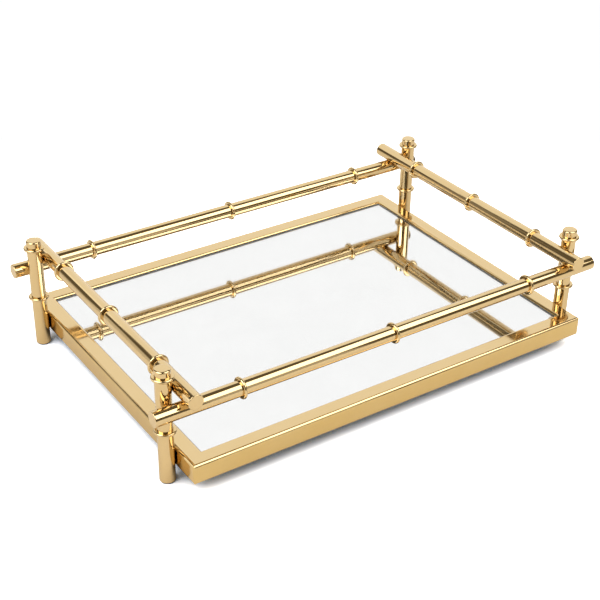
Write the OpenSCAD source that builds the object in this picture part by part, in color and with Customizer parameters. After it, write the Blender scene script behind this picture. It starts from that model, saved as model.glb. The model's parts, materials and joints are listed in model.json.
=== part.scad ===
// Mirrored vanity tray with a bamboo-style tube gallery.
// A mitred frame of rectangular tube holds a mirror plate. Four corner posts stand
// outside the short sides of the frame and carry two long and two short rails.
// X runs along the tray, Y across it, Z up. The origin lies under the middle of the
// tray, on the surface that the foot pads stand on.

/* [Frame] */
// Length of the frame along X, over its outer faces
frame_l = 458; // [300:1:600]
// Width of the frame along Y, over its outer faces
frame_w = 343; // [240:1:450]
// Width of a frame bar, seen from above
bar_w = 17.5; // [12:0.5:20]
// Height of a frame bar
bar_h = 21; // [18:0.5:30]
// Wall thickness of a frame bar
bar_wall = 1.2; // [0.8:0.1:2]
// Radius of the long edges of a frame bar
bar_edge_r = 3; // [0.5:0.1:3.5]
// Radius of the frame's upright outer corners
corner_r = 2.4; // [0.5:0.1:2.4]
// Height of the underside of the frame above the table
frame_gap = 14; // [8:1:30]

/* [Mirror base] */
// Thickness of the mirror plate
mirror_t = 3; // [2:0.5:5]
// Depth of the mirror's face below the top of the frame
mirror_recess = 2; // [0.5:0.5:3]
// Clearance between the mirror's edge and the frame
mirror_gap = 0.3; // [0.2:0.1:1]
// Size of the ground bevel around the mirror's edges
mirror_bevel = 0.2; // [0.2:0.1:0.8]
// Thickness of the backing board under the mirror
board_t = 3; // [2:0.5:5]
// Width of the ledge strips that carry the board
ledge_w = 10; // [6:1:14]
// Thickness of the ledge strips
ledge_t = 1.5; // [1:0.5:3]
// Thickness of the felt liner between the ledges
felt_t = 1; // [0.5:0.5:1]

/* [Gallery tubes] */
// Outer diameter of the posts and rails
tube_d = 15; // [12:0.5:18]
// Wall thickness of the posts and rails
tube_wall = 1.2; // [0.8:0.1:2]
// Distance from the frame's long outer faces in to the post axes
post_inset = 36.5; // [28:1:50]
// Height of the long rails' axes above the top of the frame
rail_rise = 47.5; // [40:0.5:80]
// Length of a long rail beyond the post axis
long_overhang = 19.2; // [15:0.1:30]
// Length of a short rail beyond the long rail's axis
short_overhang = 16.7; // [12:0.1:30]
// Depth of the seat ground where two tubes, or a post and the frame, are brazed
seat_depth = 0.2; // [0.1:0.05:0.4]

/* [Rings and caps] */
// Width of a ring along its tube
ring_w = 3.2; // [2.4:0.1:4]
// Height that a ring stands proud of its tube
ring_proud = 3; // [2:0.1:4]
// Height of the lower post ring above the top of the frame
lower_ring_rise = 20; // [8:0.5:22]
// Height of the top of the post above the short rail's axis
post_rise = 22.7; // [20:0.1:40]
// Distance from the top of the post down to the middle of the upper ring
upper_ring_drop = 8.8; // [7:0.1:9]
// Place of a long rail's outer rings, as a share of the way to the post
long_ring_share = 0.71; // [0.4:0.01:0.8]
// Place of a short rail's outer rings, as a share of the way to the post
short_ring_share = 0.73; // [0.4:0.01:0.8]
// Height of the post cap above its tube
cap_h = 4; // [3:0.5:5]
// Radius of the cap's upper edge
cap_edge_r = 1.8; // [0.5:0.1:2.5]
// Thickness of the disc that closes a rail's end
plug_h = 1.5; // [1:0.1:3]
// Radius of the disc's outer edge
plug_edge_r = 0.7; // [0.2:0.1:0.9]
// Thickness of a foot pad under its post
pad_h = 1.5; // [1:0.1:3]
// Distance that a foot pad's edge stands in from the post's outer surface
pad_inset = 0.6; // [0.2:0.1:1]
// Length of the spigots of caps, plugs and pads inside their tubes
spigot_l = 7; // [4:0.5:12]

/* [Hidden] */
$fn = 96;
EPS = 0.01;
MIN_BORE_R = 0.2;

frame_top = frame_gap + bar_h;
inner_l = frame_l - 2 * bar_w;
inner_w = frame_w - 2 * bar_w;
bar_bore_r = max(bar_edge_r - bar_wall, MIN_BORE_R);
mirror_top = frame_top - mirror_recess;
board_top = mirror_top - mirror_t;
ledge_top = board_top - board_t;
felt_clearance = 1;

tube_r = tube_d / 2;
bore_r = tube_r - tube_wall;
pitch = tube_d - seat_depth;
post_x = frame_l / 2 + tube_r - seat_depth;
post_y = frame_w / 2 - post_inset;
long_rail_y = post_y + pitch;
long_rail_z = frame_top + rail_rise;
short_rail_x = post_x - pitch;
short_rail_z = long_rail_z + pitch;
long_rail_l = 2 * (post_x + long_overhang);
short_rail_l = 2 * (long_rail_y + short_overhang);
post_top = short_rail_z + post_rise;
post_tube_top = post_top - cap_h;
lower_ring_z = frame_top + lower_ring_rise;
upper_ring_z = post_top - upper_ring_drop;
long_ring_x = long_ring_share * post_x;
short_ring_y = short_ring_share * post_y;

gold = [0.83, 0.66, 0.35];
silver = [0.88, 0.91, 0.93];
board_brown = [0.45, 0.32, 0.20];
felt_black = [0.10, 0.10, 0.11];
pad_grey = [0.25, 0.25, 0.26];

// Each name goes with the signs of its side in X and Y.
CORNERS = [["front_left", -1, -1], ["front_right", 1, -1], ["rear_left", -1, 1], ["rear_right", 1, 1]];
LONG_SIDES = [["front", -1], ["rear", 1]];
SHORT_SIDES = [["left", -1], ["right", 1]];
LONG_STATIONS = [["left", -1], ["middle", 0], ["right", 1]];
SHORT_STATIONS = [["front", -1], ["middle", 0], ["rear", 1]];
POST_PIECES = ["post", "post_cap", "foot_pad", "lower_ring", "upper_ring"];

// ---- placing ----------------------------------------------------------------

// Children are made for the positive side and mirrored where the sign is negative.
module on_side(axis, sign) {
    if (sign < 0) mirror(axis) children();
    else children();
}

module at_corner(sign_x, sign_y) {
    on_side([1, 0, 0], sign_x)
        on_side([0, 1, 0], sign_y)
            translate([post_x, post_y, 0]) children();
}

// A long rail's own +Z runs along X, from the middle of the rail.
module along_long_rail(sign_y) {
    on_side([0, 1, 0], sign_y)
        translate([0, long_rail_y, long_rail_z])
            rotate([0, 90, 0]) children();
}

// A short rail's own +Z runs along Y, from the middle of the rail.
module along_short_rail(sign_x) {
    on_side([1, 0, 0], sign_x)
        translate([short_rail_x, 0, short_rail_z])
            rotate([-90, 0, 0]) children();
}

// ---- shared shapes ----------------------------------------------------------

module rounded_rectangle(w, h, r) {
    translate([r, 0]) square([w - 2 * r, h]);
    translate([0, r]) square([w, h - 2 * r]);
    for (x = [r, w - r]) for (y = [r, h - r])
        translate([x, y]) circle(r);
}

// Rectangular tube along X with 45 degree mitres and rounded outer tips. Its outer face lies at Y = 0.
module mitred_tube(length) {
    intersection() {
        rotate([90, 0, 90])
            translate([0, 0, -length / 2])
                linear_extrude(length)
                    difference() {
                        rounded_rectangle(bar_w, bar_h, bar_edge_r);
                        translate([bar_wall, bar_wall])
                            rounded_rectangle(bar_w - 2 * bar_wall, bar_h - 2 * bar_wall, bar_bore_r);
                    }
        translate([0, 0, -EPS])
            linear_extrude(bar_h + 2 * EPS)
                intersection() {
                    polygon([
                        [-length / 2, 0], [length / 2, 0],
                        [length / 2 - bar_w, bar_w], [bar_w - length / 2, bar_w]
                    ]);
                    translate([-length / 2, 0]) rounded_rectangle(length, 2 * bar_w, corner_r);
                }
    }
}

module hollow_tube(length) {
    difference() {
        translate([0, 0, -length / 2]) cylinder(h = length, r = tube_r);
        translate([0, 0, -length / 2 - EPS]) cylinder(h = length + 2 * EPS, r = bore_r);
    }
}

// Bead-shaped collar around a tube, centred at Z = 0.
module ring() {
    rotate_extrude()
        difference() {
            union() {
                translate([0, -ring_w / 2]) square([tube_r + ring_proud - ring_w / 2, ring_w]);
                translate([tube_r + ring_proud - ring_w / 2, 0]) circle(ring_w / 2);
            }
            translate([0, -ring_w]) square([tube_r, 2 * ring_w]);
        }
}

// Disc that closes a tube, with a spigot inside it. Its disc stands on Z = 0.
module plug(r, height, edge_r) {
    rotate_extrude()
        union() {
            square([r, height - edge_r]);
            square([r - edge_r, height]);
            intersection() {
                translate([r - edge_r, height - edge_r]) circle(edge_r);
                square([r, height]);
            }
            translate([0, -spigot_l]) square([bore_r, spigot_l + EPS]);
        }
}

// Box with a bevel along all of its edges at the top and the bottom.
module bevelled_plate(length, width, thickness, bevel) {
    module slab(across, along) {
        translate([0, along / 2, 0])
            rotate([90, 0, 0])
                linear_extrude(along)
                    polygon([
                        [bevel - across / 2, 0], [across / 2 - bevel, 0],
                        [across / 2, bevel], [across / 2, thickness - bevel],
                        [across / 2 - bevel, thickness], [bevel - across / 2, thickness],
                        [-across / 2, thickness - bevel], [-across / 2, bevel]
                    ]);
    }
    intersection() {
        slab(length, width);
        rotate([0, 0, 90]) slab(width, length);
    }
}

// ---- mirror base ------------------------------------------------------------

module mirror_plate() {
    color(silver)
        translate([0, 0, board_top])
            bevelled_plate(inner_l - 2 * mirror_gap, inner_w - 2 * mirror_gap, mirror_t, mirror_bevel);
}

module backing_board() {
    color(board_brown)
        translate([mirror_gap - inner_l / 2, mirror_gap - inner_w / 2, ledge_top])
            cube([inner_l - 2 * mirror_gap, inner_w - 2 * mirror_gap, board_t]);
}

module felt_liner() {
    edge = ledge_w + felt_clearance;
    color(felt_black)
        translate([edge - inner_l / 2, edge - inner_w / 2, ledge_top - felt_t])
            cube([inner_l - 2 * edge, inner_w - 2 * edge, felt_t]);
}

// ---- frame ------------------------------------------------------------------

module long_bar() {
    color(gold)
        translate([0, frame_w / 2, frame_gap])
            mirror([0, 1, 0]) mitred_tube(frame_l);
}

module short_bar() {
    color(gold)
        translate([frame_l / 2, 0, frame_gap])
            rotate([0, 0, 90]) mitred_tube(frame_w);
}

module long_ledge() {
    color(gold)
        translate([-inner_l / 2, inner_w / 2 - ledge_w, ledge_top - ledge_t])
            cube([inner_l, ledge_w, ledge_t]);
}

module short_ledge() {
    color(gold)
        translate([inner_l / 2 - ledge_w, ledge_w - inner_w / 2, ledge_top - ledge_t])
            cube([ledge_w, inner_w - 2 * ledge_w, ledge_t]);
}

// ---- posts ------------------------------------------------------------------

// The post's axis is Z. A flat towards the tray seats it on the frame's short side.
module post() {
    length = post_tube_top - pad_h;
    color(gold)
        difference() {
            translate([0, 0, pad_h + length / 2]) hollow_tube(length);
            translate([-post_x, -post_y, frame_gap]) cube([frame_l / 2, frame_w / 2, bar_h]);
        }
}

module post_cap() {
    color(gold) translate([0, 0, post_tube_top]) plug(tube_r, cap_h, cap_edge_r);
}

module foot_pad() {
    color(pad_grey) translate([0, 0, pad_h]) mirror([0, 0, 1]) plug(tube_r - pad_inset, pad_h, plug_edge_r);
}

module post_ring(height) {
    color(gold) translate([0, 0, height]) ring();
}

// ---- rails ------------------------------------------------------------------

module post_shape(sign_x, sign_y) {
    translate([sign_x * post_x, sign_y * post_y, 0]) cylinder(h = post_top, r = tube_r);
}

// The long rail is seated against the outer side of its two posts.
module long_rail(sign_y) {
    color(gold)
        difference() {
            along_long_rail(sign_y) hollow_tube(long_rail_l - 2 * plug_h);
            for (sign_x = [-1, 1]) post_shape(sign_x, sign_y);
        }
}

// The short rail is seated against the inner side of its posts, on top of the long rails.
module short_rail(sign_x) {
    color(gold)
        difference() {
            along_short_rail(sign_x) hollow_tube(short_rail_l - 2 * plug_h);
            for (sign_y = [-1, 1]) {
                post_shape(sign_x, sign_y);
                along_long_rail(sign_y) cylinder(h = long_rail_l, r = tube_r, center = true);
            }
        }
}

module rail_ring(place) {
    color(gold) translate([0, 0, place]) ring();
}

module rail_plug(length, sign) {
    color(gold) on_side([0, 0, 1], sign) translate([0, 0, length / 2 - plug_h]) plug(tube_r, plug_h, plug_edge_r);
}

// ---- assembly ---------------------------------------------------------------

mirror_plate();
backing_board();
felt_liner();

for (s = LONG_SIDES) {
    on_side([0, 1, 0], s[1]) long_bar();
    on_side([0, 1, 0], s[1]) long_ledge();
    long_rail(s[1]);
    for (t = LONG_STATIONS)
        along_long_rail(s[1]) rail_ring(t[1] * long_ring_x);
    for (t = SHORT_SIDES)
        along_long_rail(s[1]) rail_plug(long_rail_l, t[1]);
}

for (s = SHORT_SIDES) {
    on_side([1, 0, 0], s[1]) short_bar();
    on_side([1, 0, 0], s[1]) short_ledge();
    short_rail(s[1]);
    for (t = SHORT_STATIONS)
        along_short_rail(s[1]) rail_ring(t[1] * short_ring_y);
    for (t = LONG_SIDES)
        along_short_rail(s[1]) rail_plug(short_rail_l, t[1]);
}

for (c = CORNERS) {
    at_corner(c[1], c[2]) post();
    at_corner(c[1], c[2]) post_cap();
    at_corner(c[1], c[2]) foot_pad();
    at_corner(c[1], c[2]) post_ring(lower_ring_z);
    at_corner(c[1], c[2]) post_ring(upper_ring_z);
}
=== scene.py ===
"""Looks of a mirrored vanity tray with a bamboo-style gallery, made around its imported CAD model.

Lengths are in metres and angles in degrees unless a name says otherwise. X runs along the
tray, Y across it to the rear, Z up, and the feet stand on Z = 0.
"""
import json
import math

import bmesh
import bpy
from mathutils import Matrix, Vector


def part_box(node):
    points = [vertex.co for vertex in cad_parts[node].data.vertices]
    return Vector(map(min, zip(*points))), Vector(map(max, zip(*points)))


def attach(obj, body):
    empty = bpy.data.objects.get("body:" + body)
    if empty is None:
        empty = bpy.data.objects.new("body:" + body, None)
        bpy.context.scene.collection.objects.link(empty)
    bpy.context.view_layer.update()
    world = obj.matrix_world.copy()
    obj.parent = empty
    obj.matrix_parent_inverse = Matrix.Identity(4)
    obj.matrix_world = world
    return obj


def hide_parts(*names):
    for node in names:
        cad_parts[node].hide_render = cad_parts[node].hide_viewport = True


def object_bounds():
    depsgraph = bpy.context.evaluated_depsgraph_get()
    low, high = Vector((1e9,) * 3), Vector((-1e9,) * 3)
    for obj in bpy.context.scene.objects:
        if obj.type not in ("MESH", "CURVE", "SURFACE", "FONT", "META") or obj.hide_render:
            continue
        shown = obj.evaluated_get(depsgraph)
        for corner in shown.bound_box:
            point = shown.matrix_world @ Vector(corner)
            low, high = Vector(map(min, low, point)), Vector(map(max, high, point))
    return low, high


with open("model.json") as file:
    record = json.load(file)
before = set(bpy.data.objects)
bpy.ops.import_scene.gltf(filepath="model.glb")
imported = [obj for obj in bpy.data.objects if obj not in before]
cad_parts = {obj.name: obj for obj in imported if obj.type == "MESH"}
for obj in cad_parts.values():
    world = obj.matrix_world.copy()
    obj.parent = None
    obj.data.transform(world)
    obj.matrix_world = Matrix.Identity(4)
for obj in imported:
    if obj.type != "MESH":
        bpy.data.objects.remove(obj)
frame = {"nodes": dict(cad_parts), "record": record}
cad_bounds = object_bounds()

MM = 0.001
TRAY_CENTRE = (cad_bounds[0] + cad_bounds[1]) / 2

# ---- camera -----------------------------------------------------------------

VIEW_AZIMUTH = -34.02
VIEW_ELEVATION = 30.99
VIEW_ROLL = 0.84
VIEW_DISTANCE = 1.3144
VIEW_AIM = TRAY_CENTRE + Vector((-0.0104, -0.0077, -0.010))
LENS_MM = 76.52
SENSOR_MM = 36.0


def make_camera():
    """A camera that looks down at the tray from the front left."""
    azimuth, elevation = math.radians(VIEW_AZIMUTH), math.radians(VIEW_ELEVATION)
    back = Vector((
        math.sin(azimuth) * math.cos(elevation),
        -math.cos(azimuth) * math.cos(elevation),
        math.sin(elevation),
    ))
    data = bpy.data.cameras.new("camera")
    data.lens = LENS_MM
    data.sensor_width = SENSOR_MM
    camera = bpy.data.objects.new("camera", data)
    upright = (-back).to_track_quat("-Z", "Y").to_matrix().to_4x4()
    roll = Matrix.Rotation(math.radians(VIEW_ROLL), 4, "Z")
    camera.matrix_world = Matrix.Translation(VIEW_AIM + back * VIEW_DISTANCE) @ upright @ roll
    bpy.context.scene.collection.objects.link(camera)
    bpy.context.scene.camera = camera


# ---- light ------------------------------------------------------------------

WHITE = (1.0, 1.0, 1.0)
COOL_WHITE = (0.96, 0.98, 1.0)
WARM_DIM = (1.0, 0.86, 0.62)
# Radiance of each source, where 1 is the brightness of paper white in the picture.
WORLD_RADIANCE = 0.147
BACKDROP_RADIANCE = 1.07
SOFTBOX_RADIANCE = 3.06
SIDE_FILL_RADIANCE = 4.24
REFLECTOR_RADIANCE = 1.0
LOW_CARD_RADIANCE = 0.424
MIDDLE_CARD_RADIANCE = 0.494
DIM_CARD_RADIANCE = 0.165
FRONT_CARD_RADIANCE = 0.471
FAR_WALL_RADIANCE = 0.8
# The backdrop leans over the tray from the rear right.
BACKDROP_TOWARDS = (-0.389, -0.576, -0.719)
# The nodes of the long rails, their rings and their plugs have names that start with these.
LONG_RAILS = ("front_rail", "rear_rail")


def make_panel(name, centre, towards, width, height, radiance, tint=WHITE):
    """A rectangular soft light. Its height runs upwards, or along Y if it faces straight down."""
    data = bpy.data.lights.new(name, "AREA")
    data.shape = "RECTANGLE"
    data.size = width
    data.size_y = height
    data.energy = radiance * math.pi * width * height
    data.color = tint
    panel = bpy.data.objects.new(name, data)
    panel.location = centre
    panel.rotation_mode = "QUATERNION"
    panel.rotation_quaternion = Vector(towards).to_track_quat("-Z", "Y")
    panel.visible_camera = False
    bpy.context.scene.collection.objects.link(panel)
    return panel


def make_lights():
    """A white backdrop behind the tray, a softbox at the front right, and light from the left.

    The backdrop's step and the dimmer cards shape the bands of reflection on the tubes.
    """
    make_panel(
        "backdrop", centre=(0.551, 0.817, 0.449), towards=BACKDROP_TOWARDS,
        width=2.4, height=1.29, radiance=BACKDROP_RADIANCE, tint=COOL_WHITE,
    )
    make_panel(
        "backdrop_step", centre=(-0.05, 0.642, 0.915), towards=BACKDROP_TOWARDS,
        width=0.7, height=0.05, radiance=BACKDROP_RADIANCE, tint=COOL_WHITE,
    )
    make_panel(
        "softbox", centre=(0.372, -0.731, 0.87), towards=(-0.221, 0.433, -0.874),
        width=1.1, height=0.87, radiance=SOFTBOX_RADIANCE,
    )
    make_panel(
        "side_fill", centre=(-1.0, -0.13, 1.2), towards=(0.64, 0.08, -0.768),
        width=1.2, height=1.0, radiance=SIDE_FILL_RADIANCE,
    )
    make_panel(
        "left_reflector", centre=(-1.085, 0.0, 0.44), towards=(0.964, -0.265, 0),
        width=1.245, height=0.84, radiance=REFLECTOR_RADIANCE,
    )
    make_panel(
        "low_card", centre=(-0.835, 0.85, 0.125), towards=(0.947, -0.322, 0),
        width=0.53, height=0.25, radiance=LOW_CARD_RADIANCE,
    )
    make_panel(
        "middle_card", centre=(-0.752, 0.43, 0.255), towards=(0.514, -0.857, 0),
        width=0.35, height=0.23, radiance=MIDDLE_CARD_RADIANCE,
    )
    make_panel(
        "dim_card", centre=(-0.337, 0.523, 0.445), towards=(0.7, -0.714, 0),
        width=0.155, height=0.47, radiance=DIM_CARD_RADIANCE,
    )
    make_panel(
        "front_card", centre=(0.37, -1.125, 0.31), towards=(-0.447, 0.894, 0),
        width=0.29, height=0.6, radiance=FRONT_CARD_RADIANCE,
    )


def make_far_wall(mirror):
    """A white wall beyond the front right, placed for low views from the rear left.

    The mirror shows it in those views only. It is linked to every piece but those of the long
    rails, which would lose their dark bands to it at the front.
    """
    wall = make_panel(
        "far_wall", centre=(4.35, -4.13, 1.6), towards=(-0.725, 0.688, -0.267),
        width=2.5, height=1.3, radiance=FAR_WALL_RADIANCE,
    )
    lit_pieces = bpy.data.collections.new("lit_by_far_wall")
    lit_pieces.objects.link(mirror)
    for node, piece in frame["nodes"].items():
        if not node.startswith(LONG_RAILS):
            lit_pieces.objects.link(piece)
    wall.light_linking.receiver_collection = lit_pieces


def make_world():
    """Dim surroundings in reflections and a plain white background behind the floor's edge."""
    world = bpy.data.worlds.new("studio")
    world.use_nodes = True
    nodes, links = world.node_tree.nodes, world.node_tree.links
    dim = nodes["Background"]
    dim.inputs["Color"].default_value = WARM_DIM + (1.0,)
    dim.inputs["Strength"].default_value = WORLD_RADIANCE
    white = nodes.new("ShaderNodeBackground")
    white.inputs["Strength"].default_value = 1.0
    white.inputs["Color"].default_value = WHITE + (1.0,)
    path = nodes.new("ShaderNodeLightPath")
    choice = nodes.new("ShaderNodeMixShader")
    links.new(path.outputs["Is Camera Ray"], choice.inputs["Fac"])
    links.new(dim.outputs["Background"], choice.inputs[1])
    links.new(white.outputs["Background"], choice.inputs[2])
    links.new(choice.outputs["Shader"], nodes["World Output"].inputs["Surface"])
    bpy.context.scene.world = world


# ---- node helpers -----------------------------------------------------------


class Material:
    """A node material around one Principled shader, with short ways to add detail to it."""

    def __init__(self, name, **sockets):
        self.material = bpy.data.materials.new(name)
        self.material.use_nodes = True
        self.nodes = self.material.node_tree.nodes
        self.links = self.material.node_tree.links
        self.shader = self.nodes["Principled BSDF"]
        for socket, value in sockets.items():
            self.shader.inputs[socket.replace("_", " ")].default_value = value
        self.place = self.nodes.new("ShaderNodeTexCoord").outputs["Object"]

    def add(self, kind, inputs=None, **settings):
        """A new node. An input is a value, or an output socket to link from."""
        node = self.nodes.new("ShaderNode" + kind)
        for setting, value in settings.items():
            setattr(node, setting, value)
        for socket, value in (inputs or {}).items():
            self.feed(node.inputs[socket], value)
        return node

    def feed(self, socket, value):
        """Links value to the socket if it is an output socket, and sets it there otherwise."""
        if isinstance(value, bpy.types.NodeSocket):
            self.links.new(value, socket)
        else:
            socket.default_value = value

    def noise(self, size, detail=3.0, roughness=0.55, stretch=(1, 1, 1), seed=0.0):
        """Noise from 0 to 1 with features about size metres across, drawn out by stretch."""
        mapping = self.add("Mapping", {
            "Vector": self.place,
            "Location": (seed, seed * 0.7, seed * 0.3),
            "Scale": tuple(1 / (size * s) for s in stretch),
        })
        return self.add("TexNoise", {
            "Vector": mapping.outputs["Vector"], "Scale": 1.0, "Detail": detail, "Roughness": roughness,
        }).outputs["Fac"]

    def ramp(self, factor, low, high, to_low=0.0, to_high=1.0):
        """factor from low..high to to_low..to_high, held at both ends."""
        return self.add("MapRange", {
            "Value": factor, "From Min": low, "From Max": high, "To Min": to_low, "To Max": to_high,
        }).outputs["Result"]

    def mix(self, factor, first, second):
        """A colour between first and second."""
        node = self.add("Mix", data_type="RGBA")
        # In the node's long list of sockets, the colours are inputs 6 and 7 and output 2.
        self.feed(node.inputs[0], factor)
        self.feed(node.inputs[6], first)
        self.feed(node.inputs[7], second)
        return node.outputs[2]

    def maths(self, operation, first, second):
        """The result of a Math node on two values or sockets."""
        node = self.add("Math", operation=operation)
        self.feed(node.inputs[0], first)
        self.feed(node.inputs[1], second)
        return node.outputs[0]

    def bump(self, height, distance, after=None, strength=1.0):
        """A bump whose height input of 0..1 stands for 0..distance metres."""
        inputs = {"Height": height, "Distance": distance, "Strength": strength}
        if after is not None:
            inputs["Normal"] = after
        return self.add("Bump", inputs).outputs["Normal"]

    def finish(self, colour=None, roughness=None, normal=None):
        """Links the given sockets to the shader, and returns the material."""
        for socket, value in (("Base Color", colour), ("Roughness", roughness), ("Normal", normal)):
            if value is not None:
                self.links.new(value, self.shader.inputs[socket])
        return self.material


def shade(colour, factor):
    """An RGBA colour, made lighter or darker by factor."""
    return tuple(c * factor for c in colour) + (1.0,)


# ---- materials --------------------------------------------------------------

GOLD = (0.672, 0.497, 0.255)
# Painted shade: a darker gold that the bars' upright faces take in place of GOLD.
SHADED_SIDE_GOLD = (0.66, 0.467, 0.188)
PALE_GOLD = (0.85, 0.765, 0.6)
GOLD_ROUGHNESS = 0.075
# Depths of the plating's slow waves and of its buffing lines.
GOLD_WAVES = 0.003 * MM
BUFFING_DEPTH = 0.0002 * MM
# Stretches of noise into lines along an axis.
ALONG_X, ALONG_Y, ALONG_Z = (60, 1, 1), (1, 60, 1), (1, 1, 60)


def polished_gold(name, grain=(1, 1, 1), side=GOLD):
    """Mirror-polished gold plating, with faint buffing lines drawn out along grain.

    Upright faces take the colour side, which paints shade on them where it is darker than GOLD.
    """
    m = Material(name, Metallic=1.0, IOR=1.5)
    clouds = m.noise(22 * MM, detail=4.0, seed=3.1)
    normal = m.add("NewGeometry").outputs["Normal"]
    level = m.maths("ABSOLUTE", m.add("SeparateXYZ", {"Vector": normal}).outputs["Z"], 0.0)
    # Painted shade: upright faces get the side colour, which is darker on the bars.
    plating = m.mix(m.ramp(level, 0.2, 0.8), shade(side, 1.0), shade(GOLD, 1.0))
    colour = m.mix(m.ramp(clouds, 0.3, 0.7, 0.0, 0.05), plating, shade(PALE_GOLD, 1.0))
    lines = m.noise(0.35 * MM, detail=2.0, stretch=grain, seed=1.7)
    smudges = m.noise(9 * MM, detail=5.0, roughness=0.65, seed=5.3)
    roughness = m.maths(
        "ADD",
        m.ramp(smudges, 0.35, 0.75, GOLD_ROUGHNESS - 0.015, GOLD_ROUGHNESS + 0.03),
        m.ramp(lines, 0.3, 0.7, -0.01, 0.02),
    )
    waves = m.bump(m.noise(18 * MM, detail=0.0, seed=7.9), GOLD_WAVES)
    return m.finish(colour, roughness, m.bump(lines, BUFFING_DEPTH, after=waves))


def brushed_gold(name):
    """Plated strip that was never polished."""
    m = Material(name, Metallic=1.0, IOR=1.5)
    lines = m.noise(0.5 * MM, detail=4.0, stretch=(40, 40, 1), seed=2.2)
    stains = m.noise(15 * MM, detail=5.0, seed=4.4)
    colour = m.mix(m.ramp(stains, 0.3, 0.7), shade(GOLD, 0.8), shade(GOLD, 0.95))
    roughness = m.ramp(lines, 0.25, 0.75, 0.28, 0.48)
    return m.finish(colour, roughness, m.bump(lines, 0.02 * MM))


def clear_glass(name):
    """Polished float glass with a slight green cast and a little dust on it."""
    m = Material(name, IOR=1.5, Transmission_Weight=1.0)
    dust = m.noise(3 * MM, detail=6.0, roughness=0.7, seed=8.8)
    haze = m.noise(60 * MM, detail=3.0, seed=6.1)
    colour = m.mix(m.ramp(haze, 0.3, 0.7), (0.988, 0.992, 0.991, 1), (0.993, 0.996, 0.995, 1))
    return m.finish(colour, m.ramp(dust, 0.5, 0.85, 0.0, 0.012))


def silvering(name):
    """Silver coating on the back of the glass, a little clouded in places."""
    m = Material(name, Metallic=1.0, IOR=1.5)
    clouding = m.noise(45 * MM, detail=4.0, seed=2.6)
    colour = m.mix(m.ramp(clouding, 0.3, 0.7), (0.785, 0.785, 0.79, 1), (0.805, 0.805, 0.81, 1))
    return m.finish(colour, m.ramp(clouding, 0.4, 0.8, 0.0, 0.006))


def ground_edge(name):
    """Ground and blackened edge of the glass."""
    m = Material(name, IOR=1.5)
    grit = m.noise(0.4 * MM, detail=5.0, seed=5.9)
    colour = m.mix(m.ramp(grit, 0.3, 0.7), (0.03, 0.038, 0.034, 1), (0.06, 0.072, 0.066, 1))
    return m.finish(colour, m.ramp(grit, 0.3, 0.7, 0.45, 0.65), m.bump(grit, 0.03 * MM))


def hardboard(name):
    """Brown pressed-fibre board."""
    m = Material(name, IOR=1.45)
    fibres = m.noise(0.8 * MM, detail=6.0, roughness=0.7, stretch=(5, 2, 1), seed=1.1)
    blotches = m.noise(25 * MM, detail=4.0, seed=9.2)
    brown = m.mix(m.ramp(fibres, 0.3, 0.7), (0.20, 0.115, 0.06, 1), (0.36, 0.23, 0.13, 1))
    colour = m.mix(m.ramp(blotches, 0.35, 0.75, 0.0, 0.35), brown, (0.25, 0.15, 0.085, 1))
    return m.finish(colour, m.ramp(fibres, 0.3, 0.7, 0.6, 0.85), m.bump(fibres, 0.08 * MM))


def black_felt(name):
    """Short-pile felt with matted fibres and a little lint."""
    m = Material(name, IOR=1.4, Sheen_Weight=0.4, Sheen_Roughness=0.5)
    fibres = m.noise(0.45 * MM, detail=7.0, roughness=0.75, stretch=(3, 1, 1), seed=2.5)
    crossing = m.noise(0.45 * MM, detail=7.0, roughness=0.75, stretch=(1, 3, 1), seed=7.5)
    pile = m.maths("MAXIMUM", fibres, crossing)
    lint = m.noise(1.2 * MM, detail=2.0, seed=4.9)
    base = m.mix(m.ramp(pile, 0.35, 0.75), (0.008, 0.008, 0.01, 1), (0.045, 0.045, 0.05, 1))
    colour = m.mix(m.ramp(lint, 0.74, 0.8, 0.0, 0.6), base, (0.25, 0.25, 0.26, 1))
    return m.finish(colour, m.ramp(pile, 0.3, 0.8, 0.85, 1.0), m.bump(pile, 0.25 * MM))


def foot_rubber(name):
    """Matt grey rubber with a moulded grain and scuffed patches."""
    m = Material(name, IOR=1.5)
    grain = m.noise(0.3 * MM, detail=4.0, seed=3.3)
    scuffs = m.noise(3 * MM, detail=5.0, seed=6.6)
    colour = m.mix(m.ramp(scuffs, 0.4, 0.7), (0.035, 0.035, 0.037, 1), (0.075, 0.073, 0.07, 1))
    return m.finish(colour, m.ramp(scuffs, 0.3, 0.7, 0.55, 0.8), m.bump(grain, 0.03 * MM))


# ---- floor ------------------------------------------------------------------

FLOOR_RADIUS = 40.0
FLOOR_DROP = 0.05 * MM
# The paper is lit up to the first distance from the tray's middle, and glows from the second on.
FLOOR_LIT_RADIUS = 0.40
FLOOR_WHITE_RADIUS = 0.65
FLOOR_GLOW = 1.02
# Shares of open sky within this reach, in full contact shadow and clear of it.
CONTACT_REACH = 100 * MM
CONTACT_SHARE = 0.14
OPEN_SHARE = 0.36
# Gains that paint the contact shadow into the paper's grey: for the lens in the shadow and clear of it,
# and for reflections in the shadow.
CONTACT_GAIN = 0.595
FLOOR_GAIN = 2.12
CONTACT_BOUNCE = 0.35
# Tints of the paper: for the lens in the painted shadow and clear of it, and for reflections.
CONTACT_TINT = (0.76, 1.0, 1.4, 1.0)
OPEN_TINT = (0.98, 1.0, 1.04, 1.0)
BOUNCE_TINT = (1.0, 0.97, 0.92, 1.0)


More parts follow.
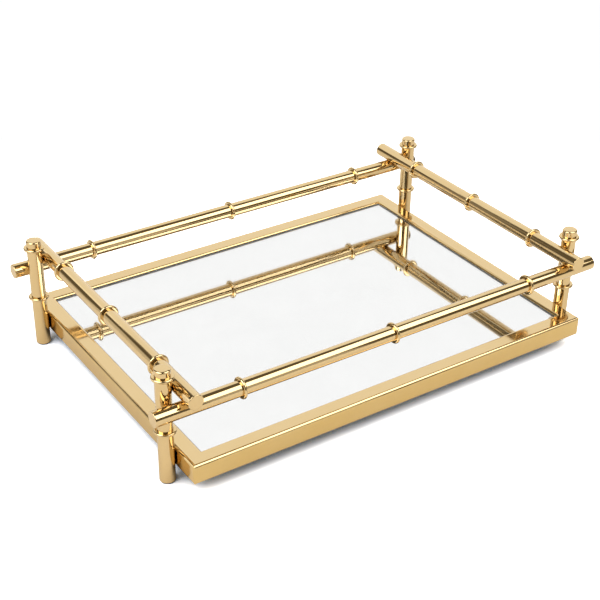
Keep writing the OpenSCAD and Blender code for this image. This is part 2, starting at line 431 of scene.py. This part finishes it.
def floor_paper(name):
    """White paper sweep that glows away from the tray, so that it stays plain white there.

    The lens sees the paper brighter than reflections do. Both see painted shade in its colour close under
    the tray.
    """
    m = Material(name)
    tooth = m.noise(1.5 * MM, detail=5.0, seed=1.4)
    paper = m.ramp(tooth, 0.3, 0.7, 0.82, 0.85)
    open_share = m.add("AmbientOcclusion", {"Distance": CONTACT_REACH}, samples=8).outputs["AO"]
    # Painted contact shadow: the ambient occlusion darkens the paper's colour close under the tray, and
    # tints it blue for the lens.
    lens_gain_with_painted_shade = m.ramp(open_share, CONTACT_SHARE, OPEN_SHARE, CONTACT_GAIN, FLOOR_GAIN)
    reflected_painted_shade = m.ramp(open_share, CONTACT_SHARE, OPEN_SHARE, CONTACT_BOUNCE, 1.0)
    seen = m.add("LightPath").outputs["Is Camera Ray"]
    unseen = m.maths("SUBTRACT", 1.0, seen)
    gain = m.maths("ADD", m.maths("MULTIPLY", unseen, reflected_painted_shade), m.maths("MULTIPLY", seen, lens_gain_with_painted_shade))
    grey = m.maths("MULTIPLY", paper, gain)
    painted_shadow_tint = m.mix(m.ramp(lens_gain_with_painted_shade, CONTACT_GAIN, FLOOR_GAIN), CONTACT_TINT, OPEN_TINT)
    tint = m.mix(seen, BOUNCE_TINT, painted_shadow_tint)
    colour = m.add("VectorMath", {0: tint, "Scale": grey}, operation="SCALE").outputs["Vector"]
    reach = m.add("VectorMath", {0: m.place}, operation="LENGTH").outputs["Value"]
    glow = m.maths("MULTIPLY", seen, m.ramp(reach, FLOOR_LIT_RADIUS, FLOOR_WHITE_RADIUS))
    emission = m.add("Emission", {"Color": WHITE + (1.0,), "Strength": FLOOR_GLOW})
    blend = m.add("MixShader", {"Fac": glow})
    diffuse = m.add("BsdfDiffuse", {"Color": colour, "Roughness": 0.0})
    m.links.new(diffuse.outputs["BSDF"], blend.inputs[1])
    m.links.new(emission.outputs["Emission"], blend.inputs[2])
    m.links.new(blend.outputs["Shader"], m.nodes["Material Output"].inputs["Surface"])
    return m.material


def make_floor():
    """A wide plain sheet, just clear of the feet."""
    mesh = bpy.data.meshes.new("floor")
    reach = FLOOR_RADIUS
    corners = [(-reach, -reach), (reach, -reach), (reach, reach), (-reach, reach)]
    mesh.from_pydata([(x, y, -FLOOR_DROP) for x, y in corners], [], [(0, 1, 2, 3)])
    mesh.materials.append(floor_paper("floor_paper"))
    floor = bpy.data.objects.new("floor", mesh)
    bpy.context.scene.collection.objects.link(floor)


# ---- mirror -----------------------------------------------------------------

# The silvering stands this much clear of the backing board, which the glass lies on.
SILVER_LIFT = 0.05 * MM
# The glass is fitted this much closer to the frame all round than its plain CAD plate.
GLASS_REACH = 0.25 * MM
GLASS_BEVEL = 0.1 * MM
# A face is level where its normal's Z is past this.
LEVEL = 0.9


def sheet_slot(face):
    """The index of a face's material: the glass on top, the silvering below, or the ground edge."""
    if face.normal.z > LEVEL:
        return 0
    if face.normal.z < -LEVEL:
        return 1
    return 2


def make_mirror():
    """The mirror plate as glass that is silvered on its underside."""
    low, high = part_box("mirror_plate")
    low = low + Vector((-GLASS_REACH, -GLASS_REACH, SILVER_LIFT))
    high = high + Vector((GLASS_REACH, GLASS_REACH, 0.0))
    size = high - low
    sheet = bmesh.new()
    bmesh.ops.create_cube(sheet, size=1.0)
    bmesh.ops.scale(sheet, vec=size, verts=sheet.verts)
    bmesh.ops.translate(sheet, vec=(low + high) / 2, verts=sheet.verts)
    middle = (low.z + high.z) / 2
    rim = [edge for edge in sheet.edges if all(vert.co.z > middle for vert in edge.verts)]
    bmesh.ops.bevel(sheet, geom=rim, offset=GLASS_BEVEL, segments=1, affect="EDGES")
    sheet.normal_update()
    for face in sheet.faces:
        face.material_index = sheet_slot(face)
    mesh = bpy.data.meshes.new("mirror_sheet")
    sheet.to_mesh(mesh)
    sheet.free()
    for material in (clear_glass("mirror_glass"), silvering("silvering"), ground_edge("ground_edge")):
        mesh.materials.append(material)
    mirror = bpy.data.objects.new("mirror_sheet", mesh)
    bpy.context.scene.collection.objects.link(mirror)
    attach(mirror, "root")
    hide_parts("mirror_plate")
    return mirror


# ---- finishes of the CAD pieces ---------------------------------------------

# Pieces shorter than this have no drawn-out buffing lines.
SMALL_PIECE = 50 * MM


def gold_for(node, golds):
    """The polished gold whose buffing lines run along the node's longest side."""
    low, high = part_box(node)
    size = high - low
    if node.endswith("_bar"):
        return golds["bar_x"] if size.x > size.y else golds["bar_y"]
    longest = max(range(3), key=lambda axis: size[axis])
    if size[longest] < SMALL_PIECE:
        return golds["small"]
    return golds["xyz"[longest]]


def finish_cad_nodes():
    """Gives every CAD node but the mirror plate the material of its slot in the record."""
    golds = {
        "x": polished_gold("polished_gold_x", ALONG_X),
        "y": polished_gold("polished_gold_y", ALONG_Y),
        "z": polished_gold("polished_gold_z", ALONG_Z),
        "small": polished_gold("polished_gold_small"),
        # The bars' upright faces carry painted shade.
        "bar_x": polished_gold("bar_gold_shaded_sides_x", ALONG_X, SHADED_SIDE_GOLD),
        "bar_y": polished_gold("bar_gold_shaded_sides_y", ALONG_Y, SHADED_SIDE_GOLD),
    }
    plain = {
        "brushed_gold": brushed_gold("brushed_gold"),
        "backing_board": hardboard("hardboard"),
        "black_felt": black_felt("black_felt"),
        "foot_rubber": foot_rubber("foot_rubber"),
    }
    for part in frame["record"]["subparts"]:
        node, slot = part["node"], part["material_slot"]
        if slot == "mirror_glass":
            continue
        mesh = frame["nodes"][node].data
        mesh.materials.clear()
        mesh.materials.append(plain[slot] if slot in plain else gold_for(node, golds))


# ---- scene ------------------------------------------------------------------

make_camera()
make_world()
make_lights()
make_floor()
finish_cad_nodes()
make_far_wall(make_mirror())
bpy.context.scene.view_settings.view_transform = "Standard"
bpy.context.scene.view_settings.look = "None"
